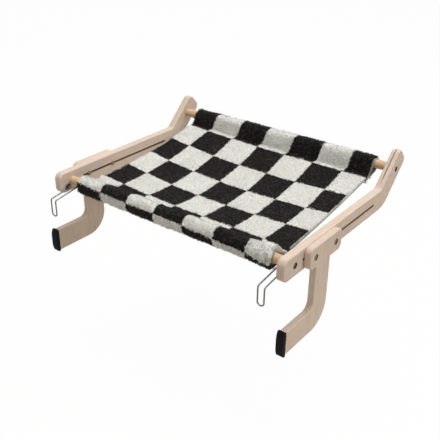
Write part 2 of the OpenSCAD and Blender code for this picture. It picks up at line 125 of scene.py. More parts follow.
# Distances past the roll's foremost line of the middle of bulge and crest, distances from its
# middle between which the bulge fades, and the crest's half width
BULGE_PLACE = 4
CREST_PLACE = 33.0
BULGE_FADE = (10, 30)
CREST_W = 13.0
# Places across the cloth between which thicker pile, crest, stronger strands and longer hanging
# curls set in
PUFF_SPAN = (200, 240)
CREST_SPAN = (210, 246)
STRAND_SPAN = (180, 235)
HANG_SPAN = (170, 235)
# Canvas that shows past the plush at the ends of the front and the back sleeve, on the left
# and on the right
HEMS = ((4.0, 5.0), (1.5, 5.0))
NO_HEMS = ((0.0, 0.0), (0.0, 0.0))
HEM_FOLD_T = 0.9
# Distances past the plush's edge between which a hem turns from single to double
HEM_FOLD_SPAN = (-0.2, 0.8)
# How much lower than the plain arc the middle of the seat hangs, and how far its left and
# right edges are held up above that middle
MIDDLE_DROP = 4.0
LEFT_RISE = 21.0
RIGHT_RISE = 12.2
# How far past the seams the lifted left edge runs, front and back
LEFT_REACH = (14.0, 6.0)
# Run past a seam in which the seat's edge turns into a sleeve's, and distances from the ends of
# the cloth between which a sleeve's turns into a flap's
SEAM_RUN = 10.0
FLAP_RUN = (12.0, 24.0)

# Check: side of a square, number of columns, and how far the columns of the front and the
# back roll lie to the right of the seat's
SQUARE = 75.34
COLUMNS = 7
FRONT_SHIFT = 11.0
BACK_SHIFT = 7.0
# Where the first ends: past the roll's foremost line and past the seam; and where the second
# comes up: ahead of the seam and past it
FRONT_SHIFT_RUN = (8, 6)
BACK_SHIFT_RUN = (6, 12)
# Distance behind the front dowel of the lines between rows of squares, front to back, with
# the side edges of the seat there
ROW_LINES = (64.4, 139.9, 216.0, 291.1, 362.9)
LEFT_EDGE = (-250.0, -247.0, -247.5, -248.0, -245.0)
RIGHT_EDGE = (247.0, 244.0, 243.0, 244.0, 246.0)
# Angle round the front dowel, from +Y over the top, of the line between rows 5 and 6 at the
# right end, how much further up it lies at the left half, down at the very right and up at the
# very left, and how far the line before it runs towards the roll at the right edge
FRONT_ROW_ANGLE = 186.0
FRONT_ROW_CLIMB = 6.5
FRONT_ROW_DROP = 5.0
LEFT_CLIMB = 3.5
CORNER_RUN = 14.0
# Places across the cloth between which each of those four comes or goes
CLIMB_SPAN = (-30, 200)
DROP_SPAN = (195, 245)
LEFT_SPAN = (-250, -140)
CORNER_SPAN = (180, 247)

# Tape along a side edge: its cross-section as distance out from the edge and depth below
# the plush's face, outside and then inside
TAPE_OUTER = ((-4.2, 1.1), (-2.0, 0.8), (0.3, 1.2), (0.9, 2.2), (0.4, 3.4), (0.9, 4.6),
              (0.3, 5.6), (-2.0, 6.0), (-6.0, 6.0))
TAPE_INNER = ((-4.2, 1.7), (-2.0, 1.6), (-0.3, 1.9), (0.1, 2.4), (-0.1, 3.4), (0.1, 4.4),
              (-0.3, 4.9), (-2.0, 5.25), (-6.0, 5.25))
TAPE_ROWS = 150
# How far a tape presses the pile down, and how far from the edge that starts to fade and ends
TAPE_SINK = 2.0
TAPE_FADE = (1.0, 6.0)

# Pile of the rolls: distances from a dowel's axis between which it thins out, and how much
# thicker it is round the front roll, under that roll and round the back roll
ROLL_FADE = (19, 34)
FRONT_PILE = 1.5
UNDER_PILE = 2.6
UNDER_REACH = 16
BACK_PILE = 0.8
# Curls and waves of the pile: height, size and layer of noise
CURLS = ((1.4, 3.4, 0.0), (0.9, 9.0, 5.0), (0.9, 52.0, 9.0))
# Strands of pile that run round the rolls: height, length, how many times shorter they are
# across, layer of noise, share of them on the back roll, and how much more they stand up at the
# right end
STRAND_LIFT = 1.3
STRAND_SIZE = 11.0
STRAND_SLIM = 3.5
STRAND_LAYER = 3.0
STRAND_BACK = 0.6
STRAND_MORE = 1.1
# Depth and half width of the seams' grooves and of finer ones, with the distances of the latter
# past lines 2 and 7 of the check
SEAM_GROOVE = (1.3, 2.4)
FINE_GROOVE = (0.7, 1.5)
FINE_PLACES = ((2, 5), (2, 11), (7, 12))
# Curls of pile as pieces: number, and least and most height, width and length, with the lengths
# of those in the fringe at a sleeve's end and of those that hang on the front roll
TUFTS = 46000
TUFT_HEIGHT = (1.2, 2.6)
TUFT_WIDTH = (0.9, 1.5)
TUFT_LENGTH = (2.4, 4.6)
FRINGE_LENGTH = (4, 8)
HANG_LENGTH = (2.6, 4.6)
# Width of the fringe, share of the pile on the front roll that hangs, and how much longer it is
# at the right end
FRINGE_W = 5
HANG_SHARE = 0.5
HANG_MORE = 0.6
# Where the hanging curls start ahead of the roll's foremost line and end short of the seam
HANG_RUN = (12, 16)
# Spread of the direction in the fringe and among the hanging curls, in radians
FRINGE_SPREAD = 0.5
HANG_SPREAD = 0.35
# Root, bend and tip of such a curl: share of its height, of its length and of its width
TUFT_BEND = ((-0.3, 0.0, 0.5), (0.9, 0.5, 0.5), (0.6, 1.0, 0.18))

# Stitches: pitch, length and width, and the bead's places along it with its thickness there
STITCH_PITCH = 2.6
STITCH_LENGTH = 3.0
STITCH_W = 0.7
BEAD = ((-0.5, 0.45), (-0.25, 1.0), (0.25, 1.0), (0.5, 0.45))
BEAD_SIDES = 6
# Distance of the stitches from the ends of a row, in from a tape's edge, past the back seam and
# out into a hem, and how far they stand below the canvas and proud of hems and flaps
STITCH_MARGIN = 4
TAPE_STITCH_IN = 4.2
HEM_STITCH_FROM = 6
HEM_STITCH_OUT = 2.8
STITCH_BELOW = 0.9
HEM_STITCH_PROUD = 0.1
STITCH_PROUD = 1.0

# Loose threads: number, rings in each, half thickness and sides
FRAYS = 26
FRAY_RINGS = 5
FRAY_HALF = 0.45
FRAY_SIDES = 3
# Where they start, past the seat's hem and below the plush's face; how far each ring lies further
# out and down than the last, and how much the threads sway and bend
FRAY_PLACE = (2, 12)
FRAY_DEPTH = (1.0, 4.0)
FRAY_OUT = (0.4, 1.2)
FRAY_DROP = (0.1, 1.1)
FRAY_SWAY = 0.7
FRAY_BEND = 0.35
SEED = 7


def dowel_axis(node):
    """Place of a dowel's axis in Y and Z, in millimetres."""
    low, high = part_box(node)
    middle = (low + high) / 2 / MM
    return np.array([middle.y, middle.z])


FRONT = dowel_axis("front_dowel")
BACK = dowel_axis("back_dowel") - FRONT
DOWEL_R = (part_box("front_dowel")[1].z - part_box("front_dowel")[0].z) / 2 / MM


def polar(r, a):
    """Vector of length r at an angle in degrees."""
    return r * np.array([math.cos(math.radians(a)), math.sin(math.radians(a))])


def angle_of(v):
    """Angle of a vector in degrees."""
    return math.degrees(math.atan2(v[1], v[0]))


def smooth(x, low, high):
    """0 up to low, 1 from high on, and a soft step between."""
    s = np.clip((x - low) / (high - low), 0, 1)
    return s * s * (3 - 2 * s)


# The seat's arc
seam_front = np.array(SEAM_FRONT)
seam_back = BACK - np.array([SEAM_BACK_REACH, SEAM_BACK_DROP])
seat_line = seam_back - seam_front
seat_tilt = angle_of(seat_line)
seat_r = (seat_line @ seat_line / 4 + SEAT_SAG**2) / (2 * SEAT_SAG)
seat_half = math.degrees(math.asin(np.linalg.norm(seat_line) / 2 / seat_r))
seat_c = (seam_front + seam_back) / 2 + (seat_r - SEAT_SAG) * polar(1, seat_tilt + 90)
seat_from = 270 + seat_tilt - seat_half
seat_to = 270 + seat_tilt + seat_half
strip = (seat_to - seat_from) / SEAT_STRIPS
hem_front = seat_c + polar(seat_r, seat_from + strip)
hem_back = seat_c + polar(seat_r, seat_to - strip)


def arc(c, r, a, b, inward, step):
    """Points on an arc of the plush's face, with the direction into the cloth at each."""
    n = max(2, int(abs(b - a) / 180 * math.pi * r / step) + 1)
    out = []
    for i in range(n + 1):
        d = polar(1, a + (b - a) * i / n)
        out.append((c + r * d, inward * d))
    return out


def sleeve_path(c, a, crease_r, step):
    """Plush face of a sleeve from its crease, over the dowel at 0 and back to the flap."""
    sleeve_r = DOWEL_R + CLOTH_GAP + SKIN_T
    loop_r = DOWEL_R + CLOTH_GAP + SLEEVE_SLACK
    v = c + polar(seat_r - crease_r, a)
    over = angle_of(v) + math.degrees(math.acos((sleeve_r + crease_r) / np.linalg.norm(v)))
    k = np.array([SLEEVE_SLACK, 0.0])
    f = c + polar(seat_r + SKIN_T, a)
    under = 360 + angle_of(f - k) - math.degrees(math.acos(loop_r / np.linalg.norm(f - k)))
    out = arc(v, crease_r, a, over + 180, 1, step)
    out += arc(np.zeros(2), sleeve_r, over, 180, -1, step)
    out += arc(k, loop_r + SKIN_T, 180, under, -1, step)
    out += arc(f, SKIN_T, under, a, -1, step)
    out += arc(c, seat_r + 2 * SKIN_T, a, a + strip, -1, step)
    return out


def whole_path(step):
    """Distance, place and inward direction along the plush face, from flap to flap."""
    front = sleeve_path(seat_c, seat_from, CREASE_FRONT_R, step)[::-1]
    seat = arc(seat_c, seat_r, seat_from, seat_to, 1, step)
    back_c = np.array([BACK[0] - seat_c[0], seat_c[1] - BACK[1]])
    back = sleeve_path(back_c, 540 - seat_to, CREASE_BACK_R, step)
    back = [(np.array([BACK[0] - p[0], BACK[1] + p[1]]), np.array([-n[0], n[1]])) for p, n in back]
    path = front + seat + back
    p = np.array([q[0] for q in path])
    n = np.array([q[1] for q in path])
    keep = np.r_[True, np.linalg.norm(np.diff(p, axis=0), axis=1) > 1e-6]
    p, n = p[keep], n[keep]
    return np.r_[0, np.cumsum(np.linalg.norm(np.diff(p, axis=0), axis=1))], p, n


PATH_T, PATH_P, PATH_N = whole_path(PATH_STEP)
LENGTH = PATH_T[-1]
FRONT_T = PATH_T[np.argmin(PATH_P[:, 0])]
BACK_T = PATH_T[np.argmax(PATH_P[:, 0])]


def at(t):
    """Place and inward direction at a distance along the path."""
    p = np.stack([np.interp(t, PATH_T, PATH_P[:, i]) for i in (0, 1)], -1)
    n = np.stack([np.interp(t, PATH_T, PATH_N[:, i]) for i in (0, 1)], -1)
    return p, n / np.linalg.norm(n, axis=-1)[..., None]


def top_t(y):
    """Distance along the path at which the sling's upper face reaches y."""
    top = (PATH_T > FRONT_T) & (PATH_T < BACK_T)
    return float(PATH_T[top][np.argmin(np.abs(PATH_P[top, 0] - y))])


HEM_T = (top_t(hem_front[0]), top_t(hem_back[0]))
SEAM_T = (top_t(seam_front[0]), top_t(seam_back[0]))


def bow_at(y, ahead, behind):
    """0 at the seams, or so far past them, and 1 midway."""
    low, high = seam_front[0] - ahead, seam_back[0] + behind
    u = np.clip((y - low) / (high - low), 0, 1)
    return 4 * u * (1 - u)


def droop(x, y):
    """How far the cloth hangs above or below the plain arc."""
    bow = bow_at(y, 0.0, 0.0)
    side = (x / PLUSH_HALF) ** 2
    rise = np.where(x < 0, LEFT_RISE * bow_at(y, *LEFT_REACH) ** 0.5, RIGHT_RISE * bow)
    return rise * side - MIDDLE_DROP * bow


def cloth_point(x, t, depth):
    """Place of a point of the cloth, in millimetres round the front dowel's axis."""
    p, n = at(t)
    y = p[..., 0] + depth * n[..., 0]
    z = p[..., 1] + depth * n[..., 1]
    return np.stack([x + 0 * y, y, z + droop(x, y)], -1)


def to_metres(points):
    """Points round the front dowel's axis in millimetres as points of the row frame."""
    return (points + np.array([0.0, FRONT[0], FRONT[1]])) * MM


def slant(x, t):
    """How far the cloth lies to the right on the way up the back roll."""
    share = 1 - SLANT_FADE * smooth(x, *SLANT_SPAN)
    up = smooth(t, SEAM_T[1], BACK_T - SLANT_AHEAD) * (1 - smooth(t - BACK_T, *SLANT_PAST))
    return BACK_SLANT * share * up


def on_seat_share(t):
    """0 on the sleeves and 1 on the seat and its flaps."""
    seat = np.minimum(smooth(t, SEAM_T[0] - SEAM_RUN, HEM_T[0]),
                      1 - smooth(t, HEM_T[1], SEAM_T[1] + SEAM_RUN))
    flaps = np.maximum(1 - smooth(t, *FLAP_RUN),
                       smooth(t, LENGTH - FLAP_RUN[1], LENGTH - FLAP_RUN[0]))
    return np.maximum(seat, flaps)


def edges(t, hems=NO_HEMS):
    """Left and right edge of the cloth, with hems added at the ends of the two sleeves."""
    p, _ = at(t)
    at_back = t > LENGTH / 2
    seat = on_seat_share(t)
    y = np.clip(p[..., 0], ROW_LINES[0], ROW_LINES[-1])
    out = []
    sides = ((LEFT_EDGE, LEFT_ENDS, -1, hems[0]), (RIGHT_EDGE, RIGHT_ENDS, 1, hems[1]))
    for values, ends, sign, past in sides:
        back_end = ends[1] + SLANT_ENDS * slant(ends[1], t)
        sleeve = np.where(at_back, back_end, ends[0]) + sign * np.where(at_back, past[1], past[0])
        if sign > 0:
            sleeve = sleeve + END_BULGE * (1 - smooth(np.abs(t - FRONT_T - BULGE_PLACE), *BULGE_FADE))
        out.append(np.polyval(np.polyfit(ROW_LINES, values, 2), y) * seat + sleeve * (1 - seat))
    return out


def row_lines():
    """Distances along the path of the lines between rows, from the front flap on."""
    angle = np.degrees(np.arctan2(PATH_P[:, 1], PATH_P[:, 0])) % 360
    roll = (PATH_P[:, 0] < 0) & (PATH_T < SEAM_T[0])
    first = PATH_T[roll][np.argmin(np.abs(angle[roll] - FRONT_ROW_ANGLE))]
    lines = [first - 2 * SQUARE, first - SQUARE, first] + [top_t(y) for y in ROW_LINES]
    return lines + [lines[-1] + SQUARE, lines[-1] + 2 * SQUARE]


LINES = row_lines()


def peak(t, k):
    """1 at the line k between rows, falling to 0 at the lines beside it."""
    return np.interp(t, LINES[k - 1:k + 2], (0.0, 1.0, 0.0))


def check_place(x, t):
    """Place in the check, in squares across and along."""
    climb = FRONT_ROW_CLIMB * (1 - smooth(x, *CLIMB_SPAN)) - FRONT_ROW_DROP * smooth(x, *DROP_SPAN)
    climb = climb + LEFT_CLIMB * (1 - smooth(x, *LEFT_SPAN))
    run = CORNER_RUN * smooth(x, *CORNER_SPAN)
    warped = t - climb * peak(t, 2) + run * peak(t, 3)
    rows = np.interp(warped, LINES, np.arange(len(LINES) - 2, -2, -1))
    roll, seat = FRONT_SHIFT_RUN
    shift = FRONT_SHIFT * (1 - smooth(t, FRONT_T + roll, SEAM_T[0] + seat))
    ahead, past = BACK_SHIFT_RUN
    shift = shift + BACK_SHIFT * smooth(t, SEAM_T[1] - ahead, SEAM_T[1] + past) + slant(x, t)
    return np.stack([(x - shift) / SQUARE + COLUMNS / 2, rows + 0 * x, 0 * x], -1)


# Materials

def new_material(name):
    """A node material with its tree and its shader."""
    m = bpy.data.materials.new(name)
    m.use_nodes = True
    tree = m.node_tree
    return m, tree, tree.nodes["Principled BSDF"]


def add(tree, kind, **values):
    """A new node, with values for its inputs or, where it has no such input, its settings."""
    node = tree.nodes.new(kind)
    for key, value in values.items():
        if key in node.inputs:
            node.inputs[key].default_value = value
        else:
            setattr(node, key, value)
    return node


def texture(tree, kind, place, **values):
    """A new node that is read at a place."""
    node = add(tree, kind, **values)
    tree.links.new(place, node.inputs["Vector"])
    return node


def split(tree, vector):
    """X, Y and Z of a vector, by name."""
    node = add(tree, "ShaderNodeSeparateXYZ")
    tree.links.new(vector, node.inputs[0])
    return node.outputs


def linear_share(c):
    """Linear share of one 0 to 255 number of a screen colour."""
    return ((c / 255 + 0.055) / 1.055) ** 2.4 if c > 10 else c / 255 / 12.92


def linear(r, g, b):
    """Linear colour from the 0 to 255 numbers of a screen colour."""
    return tuple(linear_share(c) for c in (r, g, b)) + (1.0,)


def ramp(tree, factor, stops):
    """Colour between stops of place and colour, by a factor."""
    node = add(tree, "ShaderNodeValToRGB")
    while len(node.color_ramp.elements) < len(stops):
        node.color_ramp.elements.new(0.5)
    for element, (at_share, colour) in zip(node.color_ramp.elements, stops):
        element.position = at_share
        element.color = colour
    tree.links.new(factor, node.inputs["Fac"])
    return node.outputs["Color"]


def maths(tree, operation, a, b, clamp=False):
    """A Math node on two values or sockets."""
    node = add(tree, "ShaderNodeMath", operation=operation, use_clamp=clamp)
    for slot, value in ((0, a), (1, b)):
        if isinstance(value, (int, float)):
            node.inputs[slot].default_value = value
        else:
            tree.links.new(value, node.inputs[slot])
    return node.outputs[0]


def blend(tree, factor, under, over):
    """Colour under, with over, a plain colour or a socket, laid on it where factor is 1."""
    node = add(tree, "ShaderNodeMix", data_type="RGBA")
    tree.links.new(factor, node.inputs["Factor"])
    tree.links.new(under, node.inputs[6])
    if isinstance(over, tuple):
        node.inputs[7].default_value = over
    else:
        tree.links.new(over, node.inputs[7])
    return node.outputs[2]


def ease(tree, high, low, slope):
    """Difference of two values times a slope, kept from 0 to 1."""
    return maths(tree, "MULTIPLY", maths(tree, "SUBTRACT", high, low), slope, True)


def band(tree, value, low, high, soft):
    """1 where value lies from low to high, with soft ends."""
    up = ease(tree, value, low - soft, 1 / soft)
    down = ease(tree, high + soft, value, 1 / soft)
    return maths(tree, "MULTIPLY", up, down)


def cover(tree, bsdf, colour, height, strength, distance_mm):
    """Gives a shader its colour, and its bump from a height."""
    bump = add(tree, "ShaderNodeBump", Strength=strength, Distance=distance_mm * MM)
    tree.links.new(colour, bsdf.inputs["Base Color"])
    tree.links.new(height, bump.inputs["Height"])
    tree.links.new(bump.outputs["Normal"], bsdf.inputs["Normal"])


def tune(bsdf, values):
    """Sets a shader's plain values."""
    for key, value in values.items():
        bsdf.inputs[key].default_value = value


# Wood: stretch of the grain along each axis, share of its clouds, and stops of its two tones
GRAIN_SCALE = {"X": (6, 90, 90), "Y": (90, 6, 90), "Z": (90, 90, 6)}
CLOUD_SHARE = 0.35
GRAIN_STOPS = (0.45, 0.85)
# Colour of the lines of the plies on narrow faces, also used for the dark line down the right arm's
# tail
PLY = linear(112, 84, 66)
PLY_SHARE = 0.24
# Dark line down the right arm's tail: its middle, half width, soft width, strength, start and
# end, and how fast it comes and goes there
ARM_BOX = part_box("arm_right")
ARM_MIDDLE = (ARM_BOX[0].x + ARM_BOX[1].x) / 2
TAIL_LINE_HALF = 0.9
TAIL_LINE_SOFT = 0.6
TAIL_LINE_SHARE = 0.9
TAIL_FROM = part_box("back_dowel")[0].y - 45 * MM
TAIL_TOP = ARM_BOX[1].y - 12 * MM
TAIL_LINE_SLOPES = (60.0, 200.0)
# Painted shade in the bores round screw heads and bolt heads and just past their rims, and the soft
# width of its edge
BORE_SHADE = linear(58, 40, 30)
BORE_SHADE_R = 6.8
BORE_SOFT = 0.7
DOWEL_BORES = [tuple((FRONT + d) * MM) for d in (np.zeros(2), BACK)]
BOLT_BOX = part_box("leg_bolts_right")
BOLT_R = (BOLT_BOX[1].z - BOLT_BOX[0].z) / 2
BOLT_BORES = [(y, (BOLT_BOX[0].z + BOLT_BOX[1].z) / 2)
              for y in (BOLT_BOX[0].y + BOLT_R, BOLT_BOX[1].y - BOLT_R)]
# Slot of an arm: its run behind the front dowel, its width, the painted shade round its rear end,
# the soft width of the shade's edge along and across it, and the colour of the painted shade that
# darkens its walls
SLOT_RUN = (25.0, 304.0)
SLOT_W = 4.6
SLOT_END_R = 3.2
SLOT_SOFT = (0.3, 0.4)
SLOT_SHADE = linear(150, 114, 86)

# Plush: raggedness of the squares, weight of the pile's knobs against its curls, and the tones
# of white and black pile by its height, darker in its hollows as painted shade and lighter on its
# tops as painted highlight
RAG = 0.09
KNOB_SHARE = 0.23
WHITE_STOPS = ((0.35, linear(208, 206, 199)), (0.49, linear(230, 230, 225)),
               (0.64, linear(242, 243, 240)))
BLACK_STOPS = ((0.42, linear(4, 4, 4)), (0.54, linear(19, 17, 16)), (0.7, linear(82, 74, 68)))
# Strands of pile on the front roll: how many there are to a square across and along it, where
# they end behind the dowel, where they set in across it, and how sharply they do either, with
# the level and slope of the grooves between them, and the colour and strength of the painted shade in
# them
STRANDS_ACROSS = 27.0
STRANDS_ALONG = 4.0
ROLL_END = (FRONT[0] + 9.0) * MM
ROLL_END_SLOPE = 100.0
STRANDS_FROM = 0.05
STRANDS_SLOPE = 6.0
GROOVE_LEVEL = 0.47
GROOVE_SLOPE = 9.0
GROOVE_SHADE = linear(140, 136, 128)
GROOVE_SHADE_SHARE = 0.68

# Canvas: its weave, and the shade between its threads
WEAVE = {"Scale": 160.0, "Distortion": 0.6, "Detail Scale": 30.0}
WEAVE_SHADE = 0.72


def bore_mask(tree, place, bores, radius):
    """1 inside bores along X, whose axes pass through the given places in Y and Z."""
    flat = add(tree, "ShaderNodeVectorMath", operation="MULTIPLY")
    flat.inputs[1].default_value = (0.0, 1.0, 1.0)
    tree.links.new(place, flat.inputs[0])
    mask = 0.0
    for y, z in bores:
        far = add(tree, "ShaderNodeVectorMath", operation="DISTANCE")
        far.inputs[1].default_value = (0.0, y, z)
        tree.links.new(flat.outputs[0], far.inputs[0])
        inside = ease(tree, radius, far.outputs["Value"], 1 / (BORE_SOFT * MM))
        mask = maths(tree, "MAXIMUM", mask, inside)
    return mask


def slot_mask(tree, place):
    """1 on the walls of an arm's slot and round its rear end."""
    spot = split(tree, place)
    low, high = ((FRONT[0] + v) * MM for v in SLOT_RUN)
    middle = FRONT[1] * MM
    half = SLOT_W / 2 * MM
    along = band(tree, spot["Y"], low, high, SLOT_SOFT[0] * MM)
    across = band(tree, spot["Z"], middle - half, middle + half, SLOT_SOFT[1] * MM)
    end = bore_mask(tree, place, [(high - half, middle)], SLOT_END_R * MM)
    return maths(tree, "MAXIMUM", maths(tree, "MULTIPLY", along, across), end)


def ply_lines(tree, place, colour):
    """Faint lines of the plies on the narrow faces."""
    bands = texture(tree, "ShaderNodeTexWave", place.outputs["Object"], bands_direction="X",
                    Scale=85.0, Distortion=0.3)
    axes = split(tree, place.outputs["Normal"])
    narrow = maths(tree, "SUBTRACT", 0.8, maths(tree, "ABSOLUTE", axes["X"], 0.0), True)
    lines = maths(tree, "MULTIPLY", bands.outputs["Fac"], narrow)
    return blend(tree, maths(tree, "MULTIPLY", lines, PLY_SHARE), colour, PLY)


def tail_dark_line(tree, place, colour):
    """A dark line down the middle of the right arm's tail."""
    spot = split(tree, place.outputs["Object"])
    half = TAIL_LINE_HALF * MM
    line = band(tree, spot["X"], ARM_MIDDLE - half, ARM_MIDDLE + half, TAIL_LINE_SOFT * MM)
    beyond = ease(tree, spot["Y"], TAIL_FROM, TAIL_LINE_SLOPES[0])
    below_top = ease(tree, TAIL_TOP, spot["Y"], TAIL_LINE_SLOPES[1])
    line = maths(tree, "MULTIPLY", line, maths(tree, "MULTIPLY", beyond, below_top))
    return blend(tree, maths(tree, "MULTIPLY", line, TAIL_LINE_SHARE), colour, PLY)


def slot_shade(tree, place, colour):
    """Painted shade on the walls of an arm's slot and round its rear end."""
    return blend(tree, slot_mask(tree, place.outputs["Object"]), colour, SLOT_SHADE)


def bore_shade(bores):
    """A mark that paints shade into the given bores."""
    def mark(tree, place, colour):
        """Painted shade inside the bores."""
        mask = bore_mask(tree, place.outputs["Object"], bores, BORE_SHADE_R * MM)
        return blend(tree, mask, colour, BORE_SHADE)
    return mark


def wood(name, along, light, dark, rough=0.55, marks=()):
    """Sanded wood with fine grain along one axis, and marks laid on it one after the other."""
    m, tree, bsdf = new_material(name)
    place = add(tree, "ShaderNodeTexCoord")
    spot = place.outputs["Object"]
    stretch = texture(tree, "ShaderNodeMapping", spot, Scale=GRAIN_SCALE[along])
    grain = texture(tree, "ShaderNodeTexNoise", stretch.outputs["Vector"], Scale=3.0, Detail=6.0,
                    Roughness=0.6, Distortion=0.6)
    cloud = texture(tree, "ShaderNodeTexNoise", spot, Scale=9.0, Detail=2.0)
    clouds = maths(tree, "MULTIPLY", cloud.outputs["Fac"], CLOUD_SHARE)
    tone = maths(tree, "ADD", clouds, grain.outputs["Fac"])
    colour = ramp(tree, tone, tuple(zip(GRAIN_STOPS, (dark, light))))
    for mark in marks:
        colour = mark(tree, place, colour)
    cover(tree, bsdf, colour, grain.outputs["Fac"], 0.12, 0.4)
    tune(bsdf, {"Roughness": rough, "Specular IOR Level": 0.3})
    return m


def speckled(name, light, dark, scale, bump, rough, metallic=0.0, specular=0.5):
    """Metal or rubber with fine spots of two tones; bump is its strength and its height in mm."""
    m, tree, bsdf = new_material(name)
    place = add(tree, "ShaderNodeTexCoord").outputs["Object"]
    spots = texture(tree, "ShaderNodeTexNoise", place, Scale=scale, Detail=3.0).outputs["Fac"]
    cover(tree, bsdf, ramp(tree, spots, ((0.35, dark), (0.65, light))), spots, *bump)
    tune(bsdf, {"Metallic": metallic, "Specular IOR Level": specular, "Roughness": rough})
    return m


def ragged_squares(tree, cloth, place):
    """The squares of the check, 0 and 1, with ragged borders."""
    rag = texture(tree, "ShaderNodeTexNoise", place, Scale=330.0, Detail=2.0)
    shift = add(tree, "ShaderNodeVectorMath", operation="SUBTRACT")
    shift.inputs[1].default_value = (0.5, 0.5, 0.5)
    tree.links.new(rag.outputs["Color"], shift.inputs[0])
    ragged = add(tree, "ShaderNodeVectorMath", operation="MULTIPLY_ADD")
    ragged.inputs[1].default_value = (RAG, RAG, 0.0)
    tree.links.new(shift.outputs[0], ragged.inputs[0])
    tree.links.new(cloth, ragged.inputs[2])
    squares = texture(tree, "ShaderNodeTexChecker", ragged.outputs[0], Scale=1.0,
                      Color1=(0, 0, 0, 1), Color2=(1, 1, 1, 1))
    return squares.outputs["Fac"]


def pile_height(tree, place):
    """Height of the pile: fine curls and rounder knobs."""
    curls = texture(tree, "ShaderNodeTexNoise", place, Scale=200.0, Detail=4.0, Roughness=0.72,
                    Distortion=1.5)
    cells = texture(tree, "ShaderNodeTexVoronoi", place, Scale=235.0)
    knobs = maths(tree, "SUBTRACT", 0.5, cells.outputs["Distance"])
    return maths(tree, "ADD", curls.outputs["Fac"], maths(tree, "MULTIPLY", knobs, KNOB_SHARE))


def strand_groove_shade(tree, cloth, place):
    """1 in the grooves between the strands that run round the front roll, on its right, where shade
    is painted.
    """
    stretched = add(tree, "ShaderNodeVectorMath", operation="MULTIPLY")
    stretched.inputs[1].default_value = (STRANDS_ACROSS, STRANDS_ALONG, 1.0)
    tree.links.new(cloth, stretched.inputs[0])
    strands = texture(tree, "ShaderNodeTexNoise", stretched.outputs[0], Scale=1.0, Detail=2.0,
                      Roughness=0.6, Distortion=0.4)
    grooves = ease(tree, GROOVE_LEVEL, strands.outputs["Fac"], GROOVE_SLOPE)
    spot = split(tree, place)
    front = ease(tree, ROLL_END, spot["Y"], ROLL_END_SLOPE)
    right = ease(tree, spot["X"], STRANDS_FROM, STRANDS_SLOPE)
    return maths(tree, "MULTIPLY", grooves, maths(tree, "MULTIPLY", front, right))


def plush():
    """Curly pile: black and white squares with ragged borders."""
    m, tree, bsdf = new_material("plush")
    cloth = add(tree, "ShaderNodeAttribute", attribute_name="cloth").outputs["Vector"]
    place = add(tree, "ShaderNodeTexCoord").outputs["Object"]
    pile = pile_height(tree, place)
    # Painted shade in the grooves between the strands on the front roll
    grooves = maths(tree, "MULTIPLY", strand_groove_shade(tree, cloth, place), GROOVE_SHADE_SHARE)
    # White and black pile darker in its hollows and lighter on its tops: painted shade and painted
    # highlight
    white = blend(tree, grooves, ramp(tree, pile, WHITE_STOPS), GROOVE_SHADE)
    black = ramp(tree, pile, BLACK_STOPS)
    colour = blend(tree, ragged_squares(tree, cloth, place), black, white)
    cover(tree, bsdf, colour, pile, 0.9, 2.0)
    tune(bsdf, {"Roughness": 1.0, "Specular IOR Level": 0.1, "Sheen Weight": 0.08,
                "Sheen Roughness": 0.6})
    return m


def canvas(name, colour):
    """Plain weave of about one thread a millimetre."""
    m, tree, bsdf = new_material(name)
    place = add(tree, "ShaderNodeTexCoord").outputs["Object"]
    across, along = (texture(tree, "ShaderNodeTexWave", place, bands_direction=axis, **WEAVE)
                     for axis in ("X", "Y"))
    weave = maths(tree, "ADD", across.outputs["Fac"], along.outputs["Fac"])
    shade = tuple(c * WEAVE_SHADE for c in colour[:3]) + (1.0,)
    tones = ramp(tree, maths(tree, "MULTIPLY", weave, 0.5), ((0.2, shade), (0.9, colour)))
    cover(tree, bsdf, tones, weave, 0.3, 0.3)
    tune(bsdf, {"Roughness": 0.9})
    return m


# The birch's marks include painted shade in the slot and in the dowel screws' bores; the upright
# birch has painted shade in the bolts' bores
BIRCH = wood("birch", "Y", linear(223, 205, 190), linear(206, 185, 168),
             marks=(ply_lines, tail_dark_line, slot_shade, bore_shade(DOWEL_BORES)))
BIRCH_UPRIGHT = wood("birch_upright", "Z", linear(223, 204, 188), linear(206, 184, 166),
                     marks=(ply_lines, bore_shade(BOLT_BORES)))
BEECH = wood("beech", "X", linear(212, 180, 144), linear(196, 162, 125), 0.45)
FINE_BUMP = (0.1, 0.2)
DARK = speckled("dark_steel", linear(72, 66, 60), linear(44, 40, 36), 400.0, FINE_BUMP, 0.45, 1.0)
ZINC = speckled("zinc", linear(168, 160, 136), linear(120, 114, 98), 400.0, FINE_BUMP, 0.4, 1.0)
WIRE = speckled("wire", linear(128, 127, 122), linear(92, 91, 87), 400.0, FINE_BUMP, 0.35, 1.0)
HEAD = speckled("screw_head", linear(176, 166, 148), linear(112, 104, 92), 500.0, (0.2, 0.3),
                0.5, 0.5)
RUBBER = speckled("pad_rubber", linear(19, 19, 20), linear(9, 9, 10), 900.0, (0.25, 0.3), 0.8,
                  specular=0.15)
PLUSH = plush()
CANVAS = canvas("canvas", linear(166, 170, 158))
TAPE = canvas("tape", linear(188, 189, 182))
THREAD = canvas("thread", linear(196, 190, 172))
FRAY = canvas("fray", linear(128, 104, 74))


def paint(node, material):
    """Gives a CAD node its material."""
    data = nodes[node].data
    data.materials.clear()
    data.materials.append(material)


for side, _ in SIDES:
    paint("arm_" + side, BIRCH)
    paint("leg_" + side, BIRCH_UPRIGHT)
    paint("pad_" + side, RUBBER)
    paint("dowel_screws_" + side, HEAD)
    paint("leg_bolts_" + side, HEAD)
    paint("leg_washers_" + side, ZINC)
    paint("leg_nuts_" + side, ZINC)
    paint("hook_" + side, WIRE)
    paint("hook_screw_" + side, ZINC)
    paint("hook_washer_" + side, DARK)
for dowel in ("front_dowel", "back_dowel"):
    paint(dowel, BEECH)


# Sling

